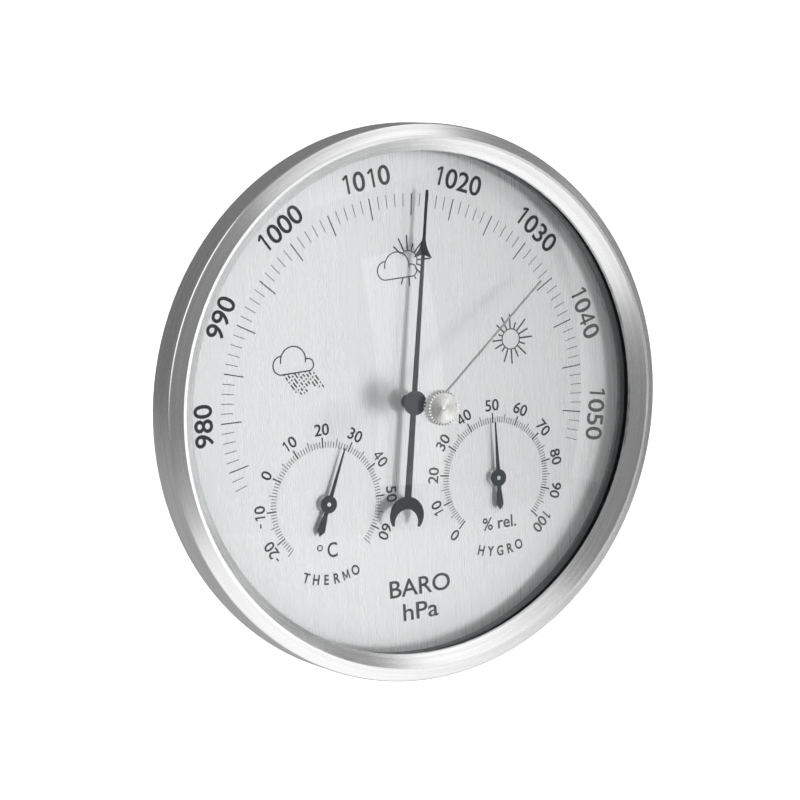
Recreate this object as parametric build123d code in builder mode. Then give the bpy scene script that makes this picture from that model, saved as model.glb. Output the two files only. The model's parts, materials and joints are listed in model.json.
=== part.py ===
from build123d import *
from math import atan, cos, degrees, radians, sin, sqrt, tan
import os

os.makedirs("parts", exist_ok=True)

# Frame: millimetres, +Z up. The wall face is the plane y = 0, centred on the case, and the
# dial looks along -Y. Every height is the distance in front of the wall face.

# ---- case ----
bezel_r = 66.0
bezel_wall = 1.2
bezel_lip_w = 6.4
bezel_ridge_w = 2.8
crest_flat = 0.7
corner_round = 0.8
dial_h = 26.0
crest_rise = 9.0
corner_rise = 6.8
lip_rise = 6.25
lip_t = 1.0
roll_drop = 1.3
roll_t = 0.8
roll_w = 3.4
shell_r = 49.5
shell_wall = 1.8
floor_t = 3.0
seat_t = 2.0
rim_wall = 1.25
rim_t = 1.65
rib_count = 12
rib_t = 1.6
rib_h = 9.0
rib_inset = 1.0
dial_t = 0.8
dial_margin = 5.0
dial_gap = 0.15
spacer_overlap = 1.0
gasket_t = 0.65
seam_gap = 0.05
wall_gap = 0.2

# ---- lens and set hand ----
lens_t = 1.5
lens_rise = 14.4
lens_edge_w = 5.2
stem_r = 1.0
bush_wall = 0.6
knob_r = 4.1
knob_t = 2.5
knob_notches = 32
knob_notch_w = 0.42
knob_notch_depth = 0.55
knob_dish = 0.45
knob_crown_t = 1.2
stem_end = 0.6
washer_t = 0.25
washer_r = 2.7
set_hand_angle = 53.7
set_wire_r = 0.25
set_hub_r = 1.9
set_hub_t = 0.35
set_lens_gap = 0.45
set_hand_short = 6.15

# ---- hanging keyhole and vents ----
key_z = 38.5
key_r = 4.0
key_slot_r = 2.1
key_slot_rise = 5.2
vent_count = 5
vent_pitch = 5.0
vent_w = 1.6
vent_len = 14.0

# ---- main scale and pointer ----
scale_margin = 11.6
pointer_angle = 8.1
pointer_rise = 3.0
pointer_t = 0.5
pointer_over = 0.9
pointer_hub_r = 2.2
pointer_boss_r = 1.5
pointer_boss_t = 1.2
pointer_cap_r = 2.9
pointer_cap_t = 0.6
arrow_start = 10.5
arrow_barb = 16.0
arrow_notch = 15.3
arrow_half_w = 2.4
line_half_w = 0.27
bar_half_w = 0.34
tail_half_w = 0.82
crescent_r = 4.5
crescent_at = 26.8
crescent_cut_r = 3.3
crescent_shift = 1.8

# ---- movement frame ----
base_gap = 1.2
base_t = 1.2
base_corner_r = 5.0
base_side = 0.6
base_wall_clear = 0.5
base_reach = 10.0
base_over = 2.0
boss_r = 4.0
screw_r = 1.25
screw_head_r = 2.5
screw_head_t = 1.25
pillar_r = 2.0
pillar_clear = 1.5
base_pillar_z = 9.0
tail_clear = 2.5
plate_screw_depth = 2.8
rear_plate_h = 15.4
gear_plate_t = 1.0
gear_gap = 5.2
plate_corner_r = 3.2
gear_pillar_r = 1.5
plate_screw_r = 0.8
plate_screw_head_r = 1.5
plate_screw_head_t = 0.7
pivot_gap = 0.04
pivot_r = 0.6

# ---- toothed sector and pinion ----
module = 0.4
pinion_teeth = 12
gear_ratio = 8
pressure_angle = 20.0
pinion_addendum = 0.9
sector_addendum = 0.65
dedendum = 1.15
backlash = 0.10
sector_t = 1.2
sector_h = 19.6
sector_half_angle = 20.0
sector_rim_w = 2.0
sector_hub_r = 3.0
sector_tail_w = 4.4
sector_arbor_r = 1.2
ball_r = 0.8
fork_gap = 0.1
pinion_len = 2.2
arbor_r = 1.0
arbor_front_r = 0.8

# ---- hairspring ----
hairspring_t = 0.12
hairspring_w = 0.5
hairspring_h = 17.4
hairspring_inner_r = 1.95
hairspring_outer_r = 6.0
hairspring_turns = 5
collet_r = 1.6
collet_t = 1.1

# ---- capsule and rocking shaft ----
shaft_h = 12.6
shaft_r = 1.0
arm_hub_r = 1.8
arm_hub_len = 3.0
arm_neck_r = 0.45
capsule_lever = 3.0
capsule_tip_r = 0.9
touch_gap = 0.12
capsule_r = 15.0
capsule_rim_w = 1.2
capsule_sheet = 0.3
capsule_h = 6.5
capsule_depth = 3.9
capsule_ripples = 5
ripple_h = 0.25
ripple_margin = 1.5
button_r = 1.0
button_dome = 0.5
button_flange_r = 2.2
button_flange_t = 0.5
button_drop = 1.2
post_r = 1.6
post_slot_w = 0.6
access_r = 4.0
nut_across = 5.5
nut_t = 0.9
bearing_t = 2.0
bearing_w = 6.0
bearing_over = 2.0
bearing_clear = 0.8
shaft_end = 1.0

# ---- small dials ----
gauge_x = 23.4
gauge_z = -21.4
gauge_cup_r = 12.5
gauge_cup_t = 0.5
gauge_cup_depth = 7.0
air_holes = 8
air_hole_r = 1.0
gauge_arbor_r = 0.5
gauge_hole_gap = 0.1
collar_r = 1.9
collar_rise = 0.8
collar_flange_r = 3.2
collar_flange_t = 0.8
gauge_pointer_rise = 1.05
gauge_pointer_t = 0.3
gauge_hub_r = 2.1
gauge_tip_r = 13.7
gauge_tail_r = 7.8
spade_half_w = 0.95
coil_w = 2.4
coil_inner_r = 1.6
coil_outer_r = 9.5
coil_h_gap = 1.4
coil_stud_r = 1.0
thermo_coil_t = 0.4
thermo_coil_turns = 4
thermo_angle = 22.5
hygro_coil_t = 0.3
hygro_coil_turns = 6
hygro_angle = 0.0

# ---- derived heights and radii ----
dial_back = dial_h - dial_t
dial_r = bezel_r - dial_margin
scale_r = dial_r - scale_margin
seat_r = dial_r + dial_gap
rim_r = bezel_r - bezel_wall - wall_gap
roll_r = bezel_r - roll_w
lip_r = bezel_r - bezel_lip_w
rim_top = dial_h - roll_drop + roll_t + seam_gap + rim_t
base_h = floor_t + base_gap
front_plate_h = rear_plate_h + gear_plate_t + gear_gap
pinion_r = module * pinion_teeth / 2
sector_r = pinion_r * gear_ratio
sector_x = -(pinion_r + sector_r)
lever = sector_h + sector_t / 2 - shaft_h
capsule_x = sector_x
capsule_z = -capsule_lever
bearing_left = capsule_x - capsule_r - bearing_clear - bearing_t
bearing_right = capsule_x + capsule_r + bearing_clear
shaft_left = bearing_left - shaft_end
shaft_right = bearing_right + bearing_t + shaft_end
lens_r = rim_r
lens_flange_top = dial_h + lip_rise - lip_t - gasket_t
lens_flange_r = lens_r - lens_edge_w
lens_sag = dial_h + lens_rise - lens_flange_top
lens_sphere_r = (lens_flange_r**2 + lens_sag**2) / (2 * lens_sag)
lens_top = dial_h + lens_rise
lens_under = lens_top - lens_t


def save(piece, name):
    piece.part.label = name
    export_step(piece.part, f"parts/{name}.step")


def face_plane(height, x=0.0, z=0.0):
    """Plane parallel to the wall, facing the reader, at a height in front of the wall."""
    return Plane(origin=(x, -height, z), x_dir=(1, 0, 0), z_dir=(0, -1, 0))


def turning_plane(x=0.0, z=0.0):
    """Plane through a turning axis: local x is the radius, local y is the height."""
    return Plane(origin=(x, 0, z), x_dir=(1, 0, 0), z_dir=(0, 0, -1))


def turning_axis(x=0.0, z=0.0):
    return Axis((x, 0, z), (0, -1, 0))


def turned(points, x=0.0, z=0.0):
    """Revolve a closed outline of (radius, height) points about an axis square to the wall."""
    with BuildPart() as piece:
        with BuildSketch(turning_plane(x, z)):
            with BuildLine():
                Polyline(*points, close=True)
            make_face()
        revolve(axis=turning_axis(x, z))
    return piece


def ring(r_in, r_out, low, high, x=0.0, z=0.0):
    return turned([(r_in, low), (r_out, low), (r_out, high), (r_in, high)], x, z)


def clock_point(r, angle):
    """Point at radius r and at an angle clockwise from the top."""
    return (r * sin(radians(angle)), r * cos(radians(angle)))


def spiral_band(r_in, r_out, turns, thick, low, width, x=0.0, z=0.0):
    """Flat spiral strip: two splines a thickness apart, extruded by the strip's width."""
    steps = 12 * turns
    growth = (r_out - r_in) / steps
    inner = [clock_point(r_in + i * growth, 30 * i) for i in range(steps + 1)]
    outer = [clock_point(r_in + thick + i * growth, 30 * i) for i in range(steps + 1)]
    with BuildPart() as strip:
        with BuildSketch(face_plane(low, x, z)):
            with BuildLine():
                near = Spline(*inner)
                far = Spline(*outer)
                Line(near @ 0, far @ 0)
                Line(near @ 1, far @ 1)
            make_face()
        extrude(amount=width)
    return strip


def lens_surface(r):
    """Height of the outer face of the dome at radius r."""
    return lens_top - lens_sphere_r + sqrt(lens_sphere_r**2 - r**2)


# ---- bezel: a turned ring with a ridge, rolled in behind the rim of the shell ----
def make_bezel():
    rear = dial_h - roll_drop
    inside = bezel_r - bezel_wall
    crest = dial_h + crest_rise
    outer_crest = bezel_r - bezel_ridge_w
    corner = dial_h + corner_rise
    with BuildPart() as bezel:
        with BuildSketch(turning_plane()) as section:
            with BuildLine():
                Polyline(
                    (lip_r, dial_h + lip_rise),
                    (outer_crest - crest_flat, crest),
                    (outer_crest, crest),
                    (bezel_r, corner),
                    (bezel_r, rear),
                    (roll_r, rear),
                    (roll_r, rear + roll_t),
                    (inside, rear + roll_t),
                    (inside, dial_h + lip_rise - lip_t),
                    (lip_r, dial_h + lip_rise - lip_t),
                    close=True,
                )
            make_face()
            outer_corner = section.vertices().group_by(Axis.X)[-1].sort_by(Axis.Y)[-1]
            fillet(outer_corner, radius=corner_round)
        revolve(axis=turning_axis())
    save(bezel, "bezel")


# ---- case shell: cup, dial seat, rim, ribs, bosses, keyhole, vents ----
base_right = base_reach
base_top = capsule_z + capsule_r + base_over
base_bottom = capsule_z - capsule_r - base_over
base_corner_reach = shell_r - shell_wall - base_wall_clear - base_corner_r
base_left = -sqrt(base_corner_reach**2 - base_bottom**2)
base_foot = (bearing_left - base_side + base_corner_r, 0)
base_corners = [
    (base_left, base_top),
    (base_left, base_bottom),
    (base_right, base_top),
    (base_right, base_bottom),
]


def make_case_shell():
    inner_r = shell_r - shell_wall
    seat_outer = seat_r + rim_wall
    rim_low = rim_top - rim_t
    with BuildPart() as shell:
        with BuildSketch(turning_plane()):
            with BuildLine():
                Polyline(
                    (0, 0),
                    (shell_r, 0),
                    (shell_r, dial_back - seat_t),
                    (seat_outer, dial_back - seat_t),
                    (seat_outer, rim_low),
                    (rim_r, rim_low),
                    (rim_r, rim_top),
                    (seat_r, rim_top),
                    (seat_r, dial_back),
                    (inner_r, dial_back),
                    (inner_r, floor_t),
                    (0, floor_t),
                    close=True,
                )
            make_face()
        revolve(axis=turning_axis())
        for i in range(rib_count):
            turn = 360 * (i + 0.5) / rib_count
            across = Plane(
                origin=(0, 0, 0),
                x_dir=(cos(radians(turn)), 0, sin(radians(turn))),
                z_dir=(sin(radians(turn)), 0, -cos(radians(turn))),
            )
            under_seat = dial_back - seat_t
            with BuildSketch(across):
                with BuildLine():
                    Polyline(
                        (shell_r - shell_wall / 2, under_seat - rib_h),
                        (shell_r, under_seat - rib_h),
                        (seat_outer - rib_inset, under_seat),
                        (shell_r - shell_wall / 2, under_seat),
                        close=True,
                    )
                make_face()
            extrude(amount=rib_t / 2, both=True)
        with BuildSketch(face_plane(floor_t)):
            with Locations(*base_corners):
                Circle(boss_r)
        extrude(amount=base_gap)
        with BuildSketch(face_plane(0)):
            with Locations(*base_corners):
                Circle(screw_r)
        extrude(amount=base_h, mode=Mode.SUBTRACT)
        for x, z in base_corners:
            with BuildSketch(turning_plane(x, z)):
                with BuildLine():
                    Polyline(
                        (0, 0),
                        (screw_head_r, 0),
                        (screw_r, screw_head_t),
                        (0, screw_head_t),
                        close=True,
                    )
                make_face()
            revolve(axis=turning_axis(x, z), mode=Mode.SUBTRACT)
        with BuildSketch(face_plane(0)):
            with Locations((0, key_z)):
                Circle(key_r)
            with Locations((0, key_z + key_slot_rise / 2)):
                Rectangle(2 * key_slot_r, key_slot_rise)
            with Locations((0, key_z + key_slot_rise)):
                Circle(key_slot_r)
            with Locations((capsule_x, capsule_z)):
                Circle(access_r)
            for x in (-gauge_x, gauge_x):
                with Locations((x, gauge_z - base_corner_r)):
                    with GridLocations(vent_pitch, 1, vent_count, 1):
                        SlotOverall(vent_len, vent_w, rotation=90)
        extrude(amount=floor_t, mode=Mode.SUBTRACT)
    save(shell, "case_shell")


# ---- dial, spacer ring, gasket, lens ----
def make_dial():
    with BuildPart() as dial:
        with BuildSketch(face_plane(dial_back)):
            Circle(dial_r)
            Circle(pointer_boss_r + dial_gap, mode=Mode.SUBTRACT)
            with Locations((-gauge_x, gauge_z), (gauge_x, gauge_z)):
                Circle(collar_r, mode=Mode.SUBTRACT)
        extrude(amount=dial_t)
    save(dial, "dial_plate")


def make_spacer():
    inner = dial_r - spacer_overlap
    save(
        turned(
            [
                (inner, dial_h),
                (dial_r, dial_h),
                (dial_r, rim_top),
                (rim_r, rim_top),
                (rim_r, lens_flange_top - lens_t),
                (inner, lens_flange_top - lens_t),
            ]
        ),
        "spacer_ring",
    )


def make_gasket():
    save(ring(lip_r + wall_gap, rim_r, lens_flange_top, lens_flange_top + gasket_t), "lens_gasket")


def make_lens():
    hole = stem_r + pivot_gap + bush_wall
    flange_under = lens_flange_top - lens_t
    inner_r = lens_flange_r - lens_t / 2
    middle = (hole + lens_flange_r) / 2
    with BuildPart() as lens:
        with BuildSketch(turning_plane()):
            with BuildLine():
                ThreePointArc(
                    (hole, lens_surface(hole)),
                    (middle, lens_surface(middle)),
                    (lens_flange_r, lens_flange_top),
                )
                Polyline(
                    (lens_flange_r, lens_flange_top),
                    (lens_r, lens_flange_top),
                    (lens_r, flange_under),
                    (inner_r, flange_under),
                )
                ThreePointArc(
                    (inner_r, flange_under),
                    (middle, lens_surface(middle) - lens_t),
                    (hole, lens_surface(hole) - lens_t),
                )
                Line((hole, lens_surface(hole) - lens_t), (hole, lens_surface(hole)))
            make_face()
        revolve(axis=turning_axis())
    save(lens, "lens")


# ---- set hand: knob outside the lens, thin hand inside it, one stem through both ----
knob_low = lens_top + washer_t + seam_gap
set_hub_h = lens_under - set_lens_gap - set_hub_t


def make_set_hand():
    bush_r = stem_r + pivot_gap + bush_wall
    save(ring(stem_r + pivot_gap, bush_r, lens_under, lens_top - seam_gap), "lens_bush")
    save(ring(stem_r + pivot_gap, washer_r, lens_top, lens_top + washer_t), "friction_washer")
    knob_high = knob_low + knob_t
    save(ring(0, stem_r, set_hub_h - stem_end, knob_high - knob_crown_t), "set_stem")
    with BuildPart() as knob:
        with BuildSketch(turning_plane()):
            with BuildLine():
                Polyline(
                    (stem_r, knob_low),
                    (knob_r, knob_low),
                    (knob_r, knob_high),
                    (knob_r - knob_notch_depth, knob_high),
                    (0, knob_high - knob_dish),
                    (0, knob_high - knob_crown_t),
                    (stem_r, knob_high - knob_crown_t),
                    close=True,
                )
            make_face()
        revolve(axis=turning_axis())
        with BuildSketch(face_plane(knob_low)):
            with PolarLocations(knob_r, knob_notches):
                Rectangle(2 * knob_notch_depth, knob_notch_w)
        extrude(amount=knob_t, mode=Mode.SUBTRACT)
    save(knob, "set_knob")
    tip_r = scale_r - set_hand_short
    tip_h = lens_surface(tip_r) - lens_t - set_lens_gap - set_wire_r
    start_r = set_hub_r - set_wire_r
    start_h = set_hub_h + set_hub_t / 2
    start_x, start_z = clock_point(start_r, set_hand_angle)
    tip_x, tip_z = clock_point(tip_r, set_hand_angle)
    with BuildPart() as hand:
        with BuildSketch(face_plane(set_hub_h)):
            Circle(set_hub_r)
            Circle(stem_r, mode=Mode.SUBTRACT)
        extrude(amount=set_hub_t)
        with BuildLine() as wire:
            Line((start_x, -start_h, start_z), (tip_x, -tip_h, tip_z))
        with BuildSketch(Plane(origin=wire.line @ 0, z_dir=wire.line % 0)):
            Circle(set_wire_r)
        sweep(path=wire.line)
    save(hand, "set_hand")


# ---- main pointer ----
pointer_h = dial_h + pointer_rise


def make_pointer():
    tip = scale_r + pointer_over
    start = tip - arrow_start
    barb = tip - arrow_barb
    notch = tip - arrow_notch
    plane = face_plane(pointer_h).rotated((0, pointer_angle, 0))
    with BuildPart() as pointer:
        with BuildSketch(plane):
            with BuildLine():
                right_flank = Spline(
                    (line_half_w, start),
                    (arrow_half_w, barb),
                    tangents=((0, -1), (0.75, -1)),
                )
                left_flank = Spline(
                    (-arrow_half_w, barb),
                    (-line_half_w, start),
                    tangents=((0.75, 1), (0, 1)),
                )
                Polyline(left_flank @ 1, (-line_half_w, tip), (line_half_w, tip), right_flank @ 0)
                Polyline(
                    right_flank @ 1,
                    (bar_half_w, notch),
                    (tail_half_w, -crescent_at + crescent_r / 2),
                    (-tail_half_w, -crescent_at + crescent_r / 2),
                    (-bar_half_w, notch),
                    left_flank @ 0,
                )
            make_face()
            Circle(pointer_hub_r)
        extrude(amount=pointer_t)
        with BuildSketch(plane):
            with Locations((0, -crescent_at)):
                Circle(crescent_r)
            with Locations((0, -crescent_at - crescent_shift)):
                Circle(crescent_cut_r, mode=Mode.SUBTRACT)
            with Locations((0, -crescent_at - crescent_shift - crescent_r / 2 - tail_half_w)):
                Rectangle(2 * crescent_r, crescent_r, mode=Mode.SUBTRACT)
        extrude(amount=pointer_t)
        with BuildSketch(face_plane(pointer_h - pointer_boss_t)):
            Circle(pointer_boss_r)
        extrude(amount=pointer_boss_t)
        with BuildSketch(face_plane(pointer_h - pointer_boss_t)):
            Circle(pivot_r)
        extrude(amount=pointer_boss_t + pointer_t, mode=Mode.SUBTRACT)
    save(pointer, "main_pointer")
    cap_low = pointer_h + pointer_t
    save(ring(0, pointer_cap_r, cap_low, cap_low + pointer_cap_t), "pointer_cap")


# ---- movement frame ----
pinion_pillar_x = hairspring_outer_r + gear_pillar_r + pillar_clear
upper_pillar_z = capsule_z + capsule_r + pillar_r + pillar_clear
base_pillar_x = shaft_right + pillar_r + pillar_clear
gear_pillar_points = [
    (sector_x - tail_clear, sector_hub_r + tail_clear),
    (sector_x - tail_clear, -sector_hub_r - tail_clear),
    (pinion_pillar_x, 0.0),
]
base_pillar_points = [
    (sector_x, upper_pillar_z),
    (base_pillar_x, base_pillar_z),
    (base_pillar_x, -base_pillar_z),
]
base_top_h = base_h + base_t


def hull_plate(points, corner_r, height, thick, holes):
    """Plate whose outline is the hull of equal circles, with (x, z, radius) holes."""
    with BuildPart() as plate:
        with BuildSketch(face_plane(height)):
            with Locations(*points):
                Circle(corner_r)
            make_hull()
            for x, z, r in holes:
                with Locations((x, z)):
                    Circle(r, mode=Mode.SUBTRACT)
        extrude(amount=thick)
    return plate


def make_frame():
    tapped = [(x, z, screw_r) for x, z in base_corners]
    pillar_taps = [(x, z, plate_screw_r) for x, z in base_pillar_points]
    gear_taps = [(x, z, plate_screw_r) for x, z in gear_pillar_points]
    post_hole = [(capsule_x, capsule_z, post_r + pivot_gap)]
    pivots = [(0, 0, pivot_r + pivot_gap), (sector_x, 0, pivot_r + pivot_gap)]
    front_pivots = [(0, 0, arbor_front_r + pivot_gap), (sector_x, 0, pivot_r + pivot_gap)]
    outline = base_corners + [base_foot]
    base = hull_plate(outline, base_corner_r, base_h, base_t, tapped + post_hole)
    save(base, "base_plate")
    rear_points = gear_pillar_points + base_pillar_points
    rear_holes = pivots + pillar_taps + gear_taps
    rear = hull_plate(rear_points, plate_corner_r, rear_plate_h, gear_plate_t, rear_holes)
    save(rear, "rear_gear_plate")
    front = hull_plate(
        gear_pillar_points, plate_corner_r, front_plate_h, gear_plate_t, front_pivots + gear_taps
    )
    save(front, "front_gear_plate")
    with BuildPart() as pillars:
        with BuildSketch(face_plane(base_top_h)):
            with Locations(*base_pillar_points):
                Circle(pillar_r)
        extrude(amount=rear_plate_h - base_top_h)
        with BuildSketch(face_plane(rear_plate_h - plate_screw_depth)):
            with Locations(*base_pillar_points):
                Circle(plate_screw_r)
        extrude(amount=plate_screw_depth, mode=Mode.SUBTRACT)
    save(pillars, "base_pillars")
    with BuildPart() as gear_pillars:
        with BuildSketch(face_plane(rear_plate_h + gear_plate_t)):
            with Locations(*gear_pillar_points):
                Circle(gear_pillar_r)
                Circle(plate_screw_r, mode=Mode.SUBTRACT)
        extrude(amount=gear_gap)
    save(gear_pillars, "gear_pillars")


def make_screws():
    with BuildPart() as base_screws:
        for x, z in base_corners:
            with BuildSketch(turning_plane(x, z)):
                with BuildLine():
                    Polyline(
                        (0, 0),
                        (screw_head_r, 0),
                        (screw_r, screw_head_t),
                        (screw_r, base_h + base_t),
                        (0, base_h + base_t),
                        close=True,
                    )
                make_face()
            revolve(axis=turning_axis(x, z))
        with BuildSketch(face_plane(0)):
            with Locations(*base_corners):
                Rectangle(2 * screw_r, post_slot_w)
                Rectangle(post_slot_w, 2 * screw_r)
        extrude(amount=screw_head_t / 2, mode=Mode.SUBTRACT)
    save(base_screws, "base_screws")
    plate_top = rear_plate_h + gear_plate_t
    with BuildPart() as pillar_screws:
        with BuildSketch(face_plane(rear_plate_h - plate_screw_depth)):
            with Locations(*base_pillar_points):
                Circle(plate_screw_r)
        extrude(amount=plate_screw_depth + gear_plate_t)
        with BuildSketch(face_plane(plate_top)):
            with Locations(*base_pillar_points):
                Circle(plate_screw_head_r)
        extrude(amount=plate_screw_head_t)
        with BuildSketch(face_plane(plate_top + plate_screw_head_t / 2)):
            with Locations(*base_pillar_points):
                Rectangle(2 * plate_screw_head_r, post_slot_w / 2)
        extrude(amount=plate_screw_head_t / 2, mode=Mode.SUBTRACT)
    save(pillar_screws, "pillar_screws")
    front_top = front_plate_h + gear_plate_t
    with BuildPart() as plate_screws:
        with BuildSketch(face_plane(rear_plate_h)):
            with Locations(*gear_pillar_points):
                Circle(plate_screw_r)
        extrude(amount=front_top - rear_plate_h)
        with BuildSketch(face_plane(front_top)):
            with Locations(*gear_pillar_points):
                Circle(plate_screw_head_r)
        extrude(amount=plate_screw_head_t)
        with BuildSketch(face_plane(front_top + plate_screw_head_t / 2)):
            with Locations(*gear_pillar_points):
                Rectangle(2 * plate_screw_head_r, post_slot_w / 2)
        extrude(amount=plate_screw_head_t / 2, mode=Mode.SUBTRACT)
    save(plate_screws, "gear_plate_screws")


# ---- toothed sector and pinion ----
def involute_turn(base_r, r):
    """Angle in degrees that an involute has turned at radius r."""
    t = sqrt(max((r / base_r) ** 2 - 1, 0))
    return degrees(t - atan(t))


def tooth_half_angle(pitch_r, teeth, r):
    base_r = pitch_r * cos(radians(pressure_angle))
    at_pitch = 90 / teeth - degrees(backlash / (2 * pitch_r))
    return at_pitch + involute_turn(base_r, pitch_r) - involute_turn(base_r, r)


def tooth_outline(pitch_r, teeth, addendum, at):
    """Closed points of one tooth centred at an angle from local +x."""
    root = pitch_r - dedendum * module
    base_r = pitch_r * cos(radians(pressure_angle))
    tip = pitch_r + addendum * module
    levels = [root - module / 4, max(root, base_r), pitch_r, tip]
    left = [(r, at + tooth_half_angle(pitch_r, teeth, r)) for r in levels]
    right = [(r, at - tooth_half_angle(pitch_r, teeth, r)) for r in reversed(levels)]
    return [(r * cos(radians(a)), r * sin(radians(a))) for r, a in left + right]


def make_gears():
    sector_teeth = pinion_teeth * gear_ratio
    pitch_angle = 360 / sector_teeth
    tooth_count = int(sector_half_angle / pitch_angle)
    root = sector_r - dedendum * module
    half = sector_half_angle + pitch_angle / 2
    rim_low = root - sector_rim_w
    inner = sector_hub_r
    with BuildPart() as sector:
        with BuildSketch(face_plane(sector_h, sector_x)):
            with BuildLine():
                lower = (root * cos(radians(half)), -root * sin(radians(half)))
                upper = (root * cos(radians(half)), root * sin(radians(half)))
                Line((0, 0), lower)
                ThreePointArc(lower, (root, 0), upper)
                Line(upper, (0, 0))
            make_face()
            Circle(sector_hub_r)
            with BuildLine():
                window = half - degrees(sector_rim_w / sector_r)
                near = inner + 2 * sector_rim_w
                Polyline(
                    (rim_low * cos(radians(window)), rim_low * sin(radians(window))),
                    (near, near * tan(radians(window / 2))),
                    (near, -near * tan(radians(window / 2))),
                    (rim_low * cos(radians(window)), -rim_low * sin(radians(window))),
                )
                ThreePointArc(
                    (rim_low * cos(radians(window)), -rim_low * sin(radians(window))),
                    (rim_low, 0),
                    (rim_low * cos(radians(window)), rim_low * sin(radians(window))),
                )
            make_face(mode=Mode.SUBTRACT)
            tail_end = lever + 2 * ball_r
            with Locations((-tail_end / 2, 0)):
                Rectangle(tail_end, sector_tail_w)
            slot_start = lever - 1.5 * ball_r
            with Locations((-(slot_start + tail_end) / 2, 0)):
                Rectangle(tail_end - slot_start, 2 * (ball_r + fork_gap), mode=Mode.SUBTRACT)
            for i in range(-tooth_count, tooth_count + 1):
                tooth = tooth_outline(sector_r, sector_teeth, sector_addendum, i * pitch_angle)
                with BuildLine():
                    Polyline(*tooth, close=True)
                make_face()
            Circle(sector_arbor_r, mode=Mode.SUBTRACT)
        extrude(amount=sector_t)
    save(sector, "sector_gear")
    low = rear_plate_h + gear_plate_t + wall_gap
    high = front_plate_h - wall_gap
    save(
        turned(
            [
                (0, rear_plate_h - wall_gap),
                (pivot_r, rear_plate_h - wall_gap),
                (pivot_r, low),
                (sector_arbor_r, low),
                (sector_arbor_r, high),
                (pivot_r, high),
                (pivot_r, front_plate_h + gear_plate_t + wall_gap),
                (0, front_plate_h + gear_plate_t + wall_gap),
            ],
            sector_x,
        ),
        "sector_arbor",
    )
    pinion_root = pinion_r - dedendum * module
    with BuildPart() as pinion:
        with BuildSketch(turning_plane()):
            with BuildLine():
                Polyline(
                    (0, rear_plate_h - wall_gap),
                    (pivot_r, rear_plate_h - wall_gap),
                    (pivot_r, low),
                    (arbor_r, low),
                    (arbor_r, high),
                    (arbor_front_r, high),
                    (arbor_front_r, pointer_h - pointer_boss_t),
                    (pivot_r, pointer_h - pointer_boss_t),
                    (pivot_r, pointer_h + pointer_t),
                    (0, pointer_h + pointer_t),
                    close=True,
                )
            make_face()
        revolve(axis=turning_axis())
        with BuildSketch(face_plane(sector_h - (pinion_len - sector_t) / 2)):
            Circle(pinion_root)
            for i in range(pinion_teeth):
                turn = 180 + (i + 0.5) * 360 / pinion_teeth
                tooth = tooth_outline(pinion_r, pinion_teeth, pinion_addendum, turn)
                with BuildLine():
                    Polyline(*tooth, close=True)
                make_face()
        extrude(amount=pinion_len)
    save(pinion, "pinion_arbor")


def make_hairspring():
    middle = hairspring_h + hairspring_w / 2
    save(ring(arbor_r, collet_r, middle - collet_t / 2, middle + collet_t / 2), "hairspring_collet")
    hairspring = spiral_band(
        hairspring_inner_r,
        hairspring_outer_r,
        hairspring_turns,
        hairspring_t,
        hairspring_h,
        hairspring_w,
    )
    save(hairspring, "hairspring")
    stud_z = hairspring_outer_r + hairspring_t + pivot_r
    plate_top = rear_plate_h + gear_plate_t
    save(ring(0, pivot_r, plate_top, hairspring_h + 2 * hairspring_w, 0, stud_z), "hairspring_stud")


# ---- rocking shaft: one arm rests on the capsule button, the other drives the sector ----

def make_rocking_shaft():
    with BuildPart() as shaft:
        with BuildSketch(Plane.YZ.offset(shaft_left)):
            with Locations((-shaft_h, 0)):
                Circle(shaft_r)
        extrude(amount=shaft_right - shaft_left)
    save(shaft, "rocking_shaft")
    with BuildPart() as capsule_arm:
        with BuildSketch(Plane.YZ.offset(capsule_x - arm_hub_len / 2)):
            with Locations((-shaft_h, 0)):
                Circle(arm_hub_r)
            with Locations((-shaft_h, -capsule_lever / 2)):
                Rectangle(2 * capsule_tip_r, capsule_lever)
            with Locations((-shaft_h, -capsule_lever)):
                Circle(capsule_tip_r)
            with Locations((-shaft_h, 0)):
                Circle(shaft_r, mode=Mode.SUBTRACT)
        extrude(amount=arm_hub_len)
    save(capsule_arm, "capsule_arm")
    arm_x = sector_x - lever
    with BuildPart() as sector_arm:
        with BuildSketch(Plane.YZ.offset(arm_x - arm_hub_len / 2)):
            with Locations((-shaft_h, 0)):
                Circle(arm_hub_r)
                Circle(shaft_r, mode=Mode.SUBTRACT)
        extrude(amount=arm_hub_len)
        with BuildSketch(face_plane(shaft_h + (shaft_r + arm_hub_r) / 2, arm_x)):
            Circle(arm_neck_r)
        extrude(amount=lever - (shaft_r + arm_hub_r) / 2)
        with Locations((arm_x, -(shaft_h + lever), 0)):
            Sphere(ball_r)
    save(sector_arm, "sector_arm")
    with BuildPart() as bearings:
        for x in (bearing_left, bearing_right):
            with BuildSketch(Plane.YZ.offset(x)):
                middle = (base_top_h + shaft_h + bearing_over) / 2
                with Locations((-middle, 0)):
                    Rectangle(shaft_h + bearing_over - base_top_h, bearing_w)
                with Locations((-shaft_h, 0)):
                    Circle(shaft_r + pivot_gap, mode=Mode.SUBTRACT)
            extrude(amount=bearing_t)
    save(bearings, "shaft_bearings")


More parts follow.
